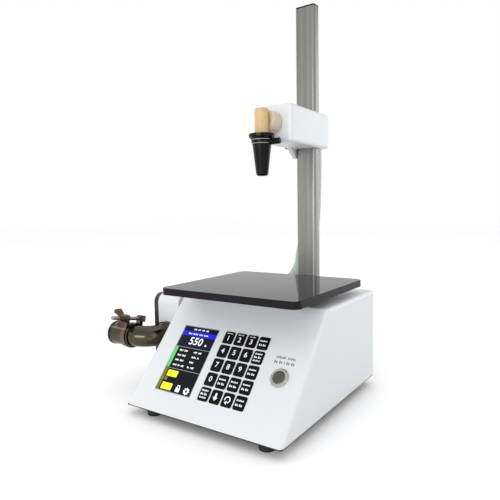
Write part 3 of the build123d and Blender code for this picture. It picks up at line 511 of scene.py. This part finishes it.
def stamp(mesh, outline, low, high):
    """Adds an outline, extruded from low to high, to a bmesh. All are in millimetres."""
    bottom = [mesh.verts.new((x, y, low)) for x, y in outline]
    top = [mesh.verts.new((x, y, high)) for x, y in outline]
    mesh.faces.new(list(reversed(bottom)))
    mesh.faces.new(top)
    count = len(outline)
    for i in range(count):
        j = (i + 1) % count
        mesh.faces.new((bottom[i], bottom[j], top[j], top[i]))


def stamp_text(mesh, text, x, y, size, low, high):
    """Adds numerals, centred on x and y."""
    curve = bpy.data.curves.new("numerals", "FONT")
    curve.body = text
    curve.size = size
    curve.align_x = "CENTER"
    curve.align_y = "CENTER"
    curve.extrude = (high - low) / 2
    curve.offset = size * BOLD_SHARE
    curve.resolution_u = 3
    holder = bpy.data.objects.new("numerals", curve)
    bpy.context.scene.collection.objects.link(holder)
    flat = as_mesh(holder)
    flat.transform(Matrix.Translation((x, y, (low + high) / 2)))
    mesh.from_mesh(flat)
    bpy.data.objects.remove(holder)
    bpy.data.curves.remove(curve)
    bpy.data.meshes.remove(flat)


def as_mesh(holder):
    """The mesh that an object has once its curve, modifiers and nodes are worked out."""
    bpy.context.view_layer.update()
    return bpy.data.meshes.new_from_object(holder.evaluated_get(bpy.context.evaluated_depsgraph_get()))


def finish_piece(name, mesh, matrix, finish, body, smooth_deg=None):
    """Turns a bmesh in millimetres into a piece that rides on a body."""
    mesh.transform(Matrix.Scale(MM, 4))
    mesh.transform(matrix)
    bmesh.ops.recalc_face_normals(mesh, faces=mesh.faces)
    data = bpy.data.meshes.new(name)
    mesh.to_mesh(data)
    mesh.free()
    data.materials.append(finish)
    if smooth_deg is not None:
        data.shade_smooth()
        data.set_sharp_from_angle(angle=math.radians(smooth_deg))
    piece = bpy.data.objects.new(name, data)
    bpy.context.scene.collection.objects.link(piece)
    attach(piece, body)
    return piece


# %% [markdown]
# ### The screen
# It shows a title, the weight in large figures, four rows of settings and a row of touch buttons. Words
# become short bars, because only figures and plain symbols belong on a generic machine.

# %% Screen picture
SCREEN_LEFT = -74.4
SCREEN_BOTTOM = 24.0
SCREEN_WIDTH = 52.6
SCREEN_HEIGHT = 84.2
SCREEN_RECESS = 0.4


def screen_place(across, up):
    """From shares of the screen's width and height to millimetres on the panel."""
    return SCREEN_LEFT + across * SCREEN_WIDTH, SCREEN_BOTTOM + up * SCREEN_HEIGHT


def screen_layer(name, parts, finish, level):
    """One colour of the picture. parts are (left, bottom, right, top) in shares of the screen, and level
    counts the layers of print beneath."""
    mesh = bmesh.new()
    low = -SCREEN_RECESS + level * PRINT_THICKNESS
    for left, bottom, right, top in parts:
        x0, y0 = screen_place(left, bottom)
        x1, y1 = screen_place(right, top)
        stamp(mesh, rectangle(x0, y0, x1, y1, 0.12), low, low + PRINT_THICKNESS)
    finish_piece(name, mesh, on_panel, finish, "base")


screen_layer("screen_ground", [(0.01, 0.006, 0.99, 0.994)], lit_black, 0)
screen_layer("screen_title", [(0.02, 0.67, 0.98, 0.985)], lit_navy, 1)
screen_layer("screen_band", [(0.02, 0.845, 0.98, 0.915)], lit_blue, 2)
screen_layer("screen_green_bar", [(0.02, 0.345, 0.095, 0.655)], lit_green, 1)
screen_layer("screen_olive_bar", [(0.02, 0.01, 0.095, 0.325), (0.11, 0.155, 0.20, 0.20)], lit_olive, 1)
screen_layer("screen_yellow_keys", [(0.13, 0.215, 0.42, 0.305), (0.13, 0.03, 0.42, 0.125)], lit_yellow, 1)
screen_layer("screen_rules", [(0.02, 0.659, 0.98, 0.665), (0.02, 0.33, 0.98, 0.336)], lit_grey, 1)


def word_blocks(left, bottom, top, widths, gap, pitch, fill):
    """A line of words, each as a row of small blocks in place of letters. fill is a block's share."""
    blocks = []
    at = left
    for width in widths:
        count = max(1, round(width / pitch))
        for letter in range(count):
            start = at + letter * width / count
            lift = 0.25 * (top - bottom) * ((letter + count) % 3 == 0)
            blocks.append((start, bottom, start + fill * width / count, top - lift))
        at += width + gap
    return blocks


def screen_words(left, bottom, top, widths):
    return word_blocks(left, bottom, top, widths, gap=0.035, pitch=0.026, fill=0.66)


SETTINGS_TOP = 0.598
SETTINGS_PITCH = 0.074
SETTINGS_HEIGHT = 0.026
setting_words = [((0.1, 0.1), (0.09, 0.09)), ((0.1, 0.1), (0.12, 0.05)),
                 ((0.1, 0.1), (0.11,)), ((0.1, 0.06, 0.08), (0.06, 0.09))]
setting_rows = []
for row, (label, value) in enumerate(setting_words):
    low = SETTINGS_TOP - row * SETTINGS_PITCH
    setting_rows += screen_words(0.17, low, low + SETTINGS_HEIGHT, label)
    setting_rows += screen_words(0.58, low, low + SETTINGS_HEIGHT, value)
screen_layer("screen_settings", setting_rows, lit_white, 1)
title_words = screen_words(0.30, 0.938, 0.963, (0.08, 0.08, 0.08, 0.08))
band_words = screen_words(0.20, 0.867, 0.889, (0.10, 0.14, 0.10, 0.12))
screen_layer("screen_words", title_words + band_words, lit_white, 3)
LOCK_AT = (0.60, 0.07)
GEAR_AT = (0.84, 0.07)


def screen_figures():
    mesh = bmesh.new()
    x, y = screen_place(0.50, 0.765)
    low = -SCREEN_RECESS + 2 * PRINT_THICKNESS
    stamp_text(mesh, "550", x, y, 13.5, low, low + PRINT_THICKNESS)
    unit_x, unit_y = screen_place(0.80, 0.725)
    stamp(mesh, circle(unit_x, unit_y + 0.6, 1.3), low, low + PRINT_THICKNESS)
    finish_piece("screen_figures", mesh, on_panel, lit_white, "base")


def screen_symbols():
    """A padlock and a gear wheel, the plainest signs for lock and settings."""
    mesh = bmesh.new()
    low = -SCREEN_RECESS + PRINT_THICKNESS
    high = low + PRINT_THICKNESS
    lock_x, lock_y = screen_place(*LOCK_AT)
    stamp(mesh, rectangle(lock_x - 3, lock_y - 3.2, lock_x + 3, lock_y + 1.6, 0.6), low, high)
    shackle = [(lock_x - 2, lock_y + 1.6, lock_x - 1.2, lock_y + 4.2),
               (lock_x + 1.2, lock_y + 1.6, lock_x + 2, lock_y + 4.2),
               (lock_x - 2, lock_y + 3.6, lock_x + 2, lock_y + 4.6)]
    for left, bottom, right, top in shackle:
        stamp(mesh, rectangle(left, bottom, right, top, 0.2), low, high)
    gear_x, gear_y = screen_place(*GEAR_AT)
    teeth = 8
    outline = []
    for tooth in range(teeth):
        for share, radius in ((-0.30, 3.2), (-0.18, 4.2), (0.18, 4.2), (0.30, 3.2)):
            angle = math.tau * (tooth + share) / teeth
            outline.append((gear_x + radius * math.cos(angle), gear_y + radius * math.sin(angle)))
    stamp(mesh, outline, low, high)
    finish_piece("screen_symbols", mesh, on_panel, lit_white, "base")


def gear_hub():
    mesh = bmesh.new()
    x, y = screen_place(*GEAR_AT)
    low = -SCREEN_RECESS + 2 * PRINT_THICKNESS
    stamp(mesh, circle(x, y, 1.5), low, low + PRINT_THICKNESS)
    finish_piece("screen_gear_hub", mesh, on_panel, lit_black, "base")


screen_figures()
screen_symbols()
gear_hub()

# %% [markdown]
# A thin silver strip closes the gap between the screen's glass and the edge of its window.

# %% Screen frame


def screen_frame(strip=0.9, gap=0.12):
    mesh = bmesh.new()
    left, bottom = SCREEN_LEFT + gap, SCREEN_BOTTOM + gap
    right = SCREEN_LEFT + SCREEN_WIDTH - gap
    top = SCREEN_BOTTOM + SCREEN_HEIGHT - gap
    outer = [(left, bottom), (right, bottom), (right, top), (left, top)]
    inner = [(left + strip, bottom + strip), (right - strip, bottom + strip),
             (right - strip, top - strip), (left + strip, top - strip)]
    low, high = -SCREEN_RECESS, -0.05
    rings = [[mesh.verts.new((x, y, z)) for x, y in ring] for ring, z in
             ((outer, low), (outer, high), (inner, high - 0.12), (inner, low))]
    for ring, following in zip(rings, rings[1:] + rings[:1]):
        for i in range(4):
            j = (i + 1) % 4
            mesh.faces.new((ring[i], ring[j], following[j], following[i]))
    finish_piece("screen_frame", mesh, on_panel, silver_bezel, "base")


screen_frame()

# %% [markdown]
# ### The keys' legends
# The figure keys carry their numeral, three of them under a small word, and the rest carry words or an
# arrow. Each legend belongs to its own key, because it goes down with it.

# %% Key legends
KEY_LEFT = -11.8
KEY_BOTTOM = 24.6
KEY_WIDTH = 13.25
KEY_HEIGHT = 14.8
KEY_PITCH_X = 15.55
KEY_PITCH_Y = 17.13
KEY_TOP = 0.9
NUMERAL_SIZE = 8.6
NUMERAL_DROP = 1.3
OVER_WORD_RISE = 4.9
OVER_WORD_HEIGHT = 1.1
LINE_PITCH = {2: 4.8, 3: 3.9}
LONG_WORD_HEIGHT = 1.7
SHORT_WORD_HEIGHT = 2.3


def key_centre(row, column):
    x = KEY_LEFT + column * KEY_PITCH_X + KEY_WIDTH / 2
    y = KEY_BOTTOM + (len(key_rows) - 1 - row) * KEY_PITCH_Y + KEY_HEIGHT / 2
    return x, y


def small_words(mesh, x, y, widths, height, low, high, gap):
    """Adds a line of words, centred on x and y."""
    total = sum(widths) + gap * (len(widths) - 1)
    for block in word_blocks(x - total / 2, y - height / 2, y + height / 2, widths, gap,
                             pitch=0.78 * height, fill=0.68):
        stamp(mesh, rectangle(*block, 0.1), low, high)


def arrow_down(mesh, x, y, low, high):
    outline = [(x - 1.1, y + 4), (x - 1.1, y - 0.4), (x - 3.2, y - 0.4), (x, y - 4.4),
               (x + 3.2, y - 0.4), (x + 1.1, y - 0.4), (x + 1.1, y + 4)]
    stamp(mesh, outline, low, high)


def arrow_round(mesh, x, y, low, high):
    """An arrow that turns back on itself: a broken ring with a head."""
    steps = 14
    outer = [(x + 3.8 * math.cos(a), y + 3.8 * math.sin(a))
             for a in (math.radians(200 - 270 * i / steps) for i in range(steps + 1))]
    inner = [(x + 2.6 * math.cos(a), y + 2.6 * math.sin(a))
             for a in (math.radians(-70 + 270 * i / steps) for i in range(steps + 1))]
    stamp(mesh, outer + inner, low, high)
    stamp(mesh, [(x + 0.2, y - 1.2), (x + 0.2, y - 5.2), (x - 3.0, y - 3.2)], low, high)


def key_legend(name, row, column):
    mesh = bmesh.new()
    x, y = key_centre(row, column)
    low, high = KEY_TOP, KEY_TOP + PRINT_THICKNESS
    numeral = name.removeprefix("key_")
    if numeral.isdigit():
        drop = NUMERAL_DROP if row == 0 else 0.0
        stamp_text(mesh, numeral, x, y - drop, NUMERAL_SIZE, low, high)
        if row == 0:
            small_words(mesh, x, y + OVER_WORD_RISE, (3.0, 4.2), OVER_WORD_HEIGHT, low, high, gap=0.7)
    elif name == "key_down":
        arrow_down(mesh, x, y, low, high)
    elif name == "key_back":
        arrow_round(mesh, x, y, low, high)
    else:
        lines = 3 if row == 1 or (row, column) == (4, 0) else 2
        for line in range(lines):
            offset = ((lines - 1) / 2 - line) * LINE_PITCH[lines]
            widths = (4.0, 4.0) if line % 2 else (9.0,)
            height = SHORT_WORD_HEIGHT if line % 2 else LONG_WORD_HEIGHT
            small_words(mesh, x, y + offset, widths, height, low, high, gap=0.9)
    legend = finish_piece(name + "_legend", mesh, on_panel, key_print, name)


for row, names in enumerate(key_rows):
    for column, name in enumerate(names):
        key_legend(name, row, column)

# %% [markdown]
# Over the push button, two short lines of print say what it does.

# %% Button label
LABEL_X = 74.2
LABEL_UPPER_Y = 88.6
LABEL_LOWER_Y = 83.2


def button_label():
    mesh = bmesh.new()
    small_words(mesh, LABEL_X, LABEL_UPPER_Y, (11.5, 9.5), 2.6, 0.0, PRINT_THICKNESS, gap=2.2)
    small_words(mesh, LABEL_X, LABEL_LOWER_Y, (4.4, 4.4, 1.2, 4.4, 4.4), 3.4, 0.0, PRINT_THICKNESS,
                gap=1.4)
    finish_piece("button_label", mesh, on_panel, panel_print, "base")


button_label()

# %% [markdown]
# ## The hose
# A silicone hose takes the honey from the pump at the lower left to the back of the arm. It is held at
# both ends by the machine. A spline through the same points as the model's hose gives its middle line.

# %% Hose
HOSE_RADIUS = 13.0
HOSE_WALL = 3.5
HOSE_SMOOTH_DEG = 50
hose_points = [
    (-124.0, 225.1, 72.0),
    (-124.0, 263.0, 72.0),
    (-106.0, 297.0, 83.0),
    (-66.0, 308.0, 106.0),
    (-31.0, 294.0, 136.0),
    (-15.0, 274.0, 172.0),
    (2.0, 266.0, 216.0),
    (2.0, 266.0, 317.5),
]


def hose():
    curve = bpy.data.curves.new("hose line", "CURVE")
    curve.dimensions = "3D"
    spline = curve.splines.new("NURBS")
    spline.points.add(len(hose_points) - 1)
    for point, where in zip(spline.points, hose_points):
        point.co = (*place(*where), 1.0)
    spline.order_u = 3
    spline.use_endpoint_u = True
    spline.resolution_u = 14
    curve.bevel_depth = (HOSE_RADIUS - HOSE_WALL) * MM
    curve.bevel_resolution = 8
    holder = bpy.data.objects.new("hose line", curve)
    bpy.context.scene.collection.objects.link(holder)
    tube = as_mesh(holder)
    bpy.data.objects.remove(holder)
    piece = bpy.data.objects.new("silicone_hose", tube)
    bpy.context.scene.collection.objects.link(piece)
    wall = piece.modifiers.new("wall", "SOLIDIFY")
    wall.thickness = HOSE_WALL * MM
    wall.offset = 1.0
    wall.use_even_offset = True
    walled = as_mesh(piece)
    piece.modifiers.clear()
    piece.data = walled
    walled.materials.clear()
    walled.materials.append(silicone)
    walled.shade_smooth()
    walled.set_sharp_from_angle(angle=math.radians(HOSE_SMOOTH_DEG))
    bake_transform(piece)
    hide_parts("outlet_hose")


hose()

# %% [markdown]
# ## Honey in the sight chamber
# The chamber is clear so that the operator sees air in the flow. The honey fills its upright bore and the
# passage from the arm.

# %% Honey
CHAMBER_BOTTOM = 319.4
CHAMBER_TOP = 345.0
UPRIGHT_RADIUS = 5.95
PASSAGE_RADIUS = 7.7
ARM_FRONT = 145.0


def lathe(mesh, profile, matrix, steps=40):
    """Turns a profile of (radius, height) round Z. A radius of 0 closes it at the axis."""
    rings = []
    for radius, height in profile:
        if radius == 0:
            rings.append([mesh.verts.new(matrix @ Vector((0, 0, height)))])
            continue
        rings.append([mesh.verts.new(matrix @ Vector((radius * math.cos(math.tau * i / steps),
                                                      radius * math.sin(math.tau * i / steps), height)))
                      for i in range(steps)])
    for low, high in zip(rings, rings[1:]):
        for i in range(steps):
            j = (i + 1) % steps
            corners = [low[i % len(low)], low[j % len(low)], high[j % len(high)], high[i % len(high)]]
            mesh.faces.new(list(dict.fromkeys(corners)))


SMOOTH_DEG = 40


def lathe_piece(name, profile, matrix, finish, body):
    mesh = bmesh.new()
    lathe(mesh, profile, matrix)
    finish_piece(name, mesh, Matrix.Identity(4), finish, body, SMOOTH_DEG)


def millimetres(x, y, z):
    """A matrix that carries a lathe's frame to a place on the machine, before the turn to metres."""
    return Matrix.Translation(place(x, y, z) / MM)


upright_profile = [(0, CHAMBER_BOTTOM + 0.1), (UPRIGHT_RADIUS - 0.4, CHAMBER_BOTTOM + 0.1),
                   (UPRIGHT_RADIUS, CHAMBER_BOTTOM + 0.5), (UPRIGHT_RADIUS, CHAMBER_TOP - 1.2),
                   (UPRIGHT_RADIUS - 0.5, CHAMBER_TOP - 0.5), (UPRIGHT_RADIUS - 2.0, CHAMBER_TOP - 0.9),
                   (0, CHAMBER_TOP - 1.3)]
lathe_piece("honey_upright", upright_profile, millimetres(NOZZLE_X, NOZZLE_Y, 0), honey, "arm")

passage_length = ARM_FRONT - NOZZLE_Y
passage_start = UPRIGHT_RADIUS - 1.0
passage_end = passage_length - 0.2
passage_profile = [(0, passage_start), (PASSAGE_RADIUS - 2.0, passage_start + 0.3),
                   (PASSAGE_RADIUS - 0.5, passage_start + 1.5), (PASSAGE_RADIUS, passage_start + 3.0),
                   (PASSAGE_RADIUS, passage_end), (0, passage_end)]
lie_back = Matrix.Rotation(math.radians(-90), 4, "X")
lathe_piece("honey_passage", passage_profile,
            millimetres(NOZZLE_X, NOZZLE_Y, CHAMBER_MIDDLE) @ lie_back, honey, "arm")

# %% [markdown]
# Two pale rings at the nozzle's neck are painted highlights along the two edges of its collar.

# %% Painted highlight rings


def band_ring(name, inner, outer, low, high, finish, body):
    """A flat ring round the nozzle's axis, in millimetres, with slightly rounded outer edges."""
    edge = 0.12
    profile = [(inner, low), (outer - edge, low), (outer, low + edge), (outer, high - edge),
               (outer - edge, high), (inner, high), (inner, low)]
    mesh = bmesh.new()
    lathe(mesh, profile, millimetres(NOZZLE_X, NOZZLE_Y, 0), steps=56)
    bmesh.ops.remove_doubles(mesh, verts=mesh.verts, dist=0.001)
    finish_piece(name, mesh, Matrix.Identity(4), finish, body, SMOOTH_DEG)


NECK_RADIUS = 11.3
band_ring("neck_highlight_upper", inner=NECK_RADIUS - 0.4, outer=NECK_RADIUS + 1.45, low=312.6, high=313.3,
          finish=edge_highlight_paint, body="arm")
band_ring("neck_highlight_lower", inner=NECK_RADIUS - 0.8, outer=NECK_RADIUS + 0.75, low=308.1, high=308.7,
          finish=edge_highlight_paint, body="arm")

# %% [markdown]
# ## Weld beads
# The inlet tube is welded to its collar. A hand-laid bead is a row of overlapping ripples, so a ring of
# points carries one small ball each, a little larger or smaller at random. The tree below has named inputs
# for its sizes.

# %% Bead ring tree


def bead_ring_tree():
    tree = bpy.data.node_groups.new("bead ring", "GeometryNodeTree")
    sockets = {}
    wanted = [("Ring radius", "NodeSocketFloat", 0.0135), ("Bead count", "NodeSocketInt", 60),
              ("Bead radius", "NodeSocketFloat", 0.0008), ("Material", "NodeSocketMaterial", None)]
    for label, kind, default in wanted:
        socket = tree.interface.new_socket(label, in_out="INPUT", socket_type=kind)
        if default is not None:
            socket.default_value = default
        sockets[label] = socket.identifier
    tree.interface.new_socket("Geometry", in_out="OUTPUT", socket_type="NodeSocketGeometry")
    given = add(tree, "NodeGroupInput").outputs
    ring = add(tree, "GeometryNodeMeshCircle", {
        "Vertices": given["Bead count"], "Radius": given["Ring radius"]})
    ball = add(tree, "GeometryNodeMeshIcoSphere", {"Radius": given["Bead radius"], "Subdivisions": 2})
    swell = add(tree, "FunctionNodeRandomValue", {"Min": 0.9, "Max": 1.1, "Seed": 4}, data_type="FLOAT")
    placed = add(tree, "GeometryNodeInstanceOnPoints", {
        "Points": ring.outputs["Mesh"], "Instance": ball.outputs["Mesh"]})
    tree.links.new(swell.outputs[1], placed.inputs["Scale"])
    real = add(tree, "GeometryNodeRealizeInstances", {"Geometry": placed.outputs["Instances"]})
    smooth = add(tree, "GeometryNodeSetShadeSmooth", {"Geometry": real.outputs["Geometry"]})
    painted = add(tree, "GeometryNodeSetMaterial", {
        "Geometry": smooth.outputs["Geometry"], "Material": given["Material"]})
    add(tree, "NodeGroupOutput", {"Geometry": painted.outputs["Geometry"]})
    return tree, sockets


def made_by_nodes(name, tree, values, matrix, body):
    """Runs a Geometry Nodes tree and keeps its result as a plain mesh, moved to its place."""
    piece = bpy.data.objects.new(name, bpy.data.meshes.new(name))
    bpy.context.scene.collection.objects.link(piece)
    modifier = piece.modifiers.new(name, "NODES")
    modifier.node_group = tree
    for identifier, value in values.items():
        modifier[identifier] = value
    result = as_mesh(piece)
    piece.modifiers.clear()
    piece.data = result
    result.transform(matrix)
    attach(piece, body)
    print(name, len(result.polygons), "faces")


bead_tree, bead_inputs = bead_ring_tree()
PIPE_HEIGHT = 72.0
PORT_X = -124.0
COLLAR_FRONT = 83.0


def bead_ring(name, ring_mm, count, bead_mm, matrix, finish, body):
    """A ring of beads. ring_mm is the ring's radius and bead_mm the radius of one bead."""
    values = {bead_inputs["Ring radius"]: ring_mm * MM, bead_inputs["Bead count"]: count,
              bead_inputs["Bead radius"]: bead_mm * MM, bead_inputs["Material"]: finish}
    made_by_nodes(name, bead_tree, values, matrix, body)


weld_metal = polished_stainless("weld bead", "#8F7F66", "#6D5E4B", 0.30)
facing_front = Matrix.Rotation(math.radians(90), 4, "X")
weld_place = Matrix.Translation(place(PORT_X, COLLAR_FRONT, PIPE_HEIGHT)) @ facing_front
bead_ring("collar_weld", ring_mm=13.6, count=64, bead_mm=0.8, matrix=weld_place,
          finish=weld_metal, body="base")

# %% [markdown]
# At the end, the scene is brought up to date.

# %% Update the scene
bpy.context.view_layer.update()
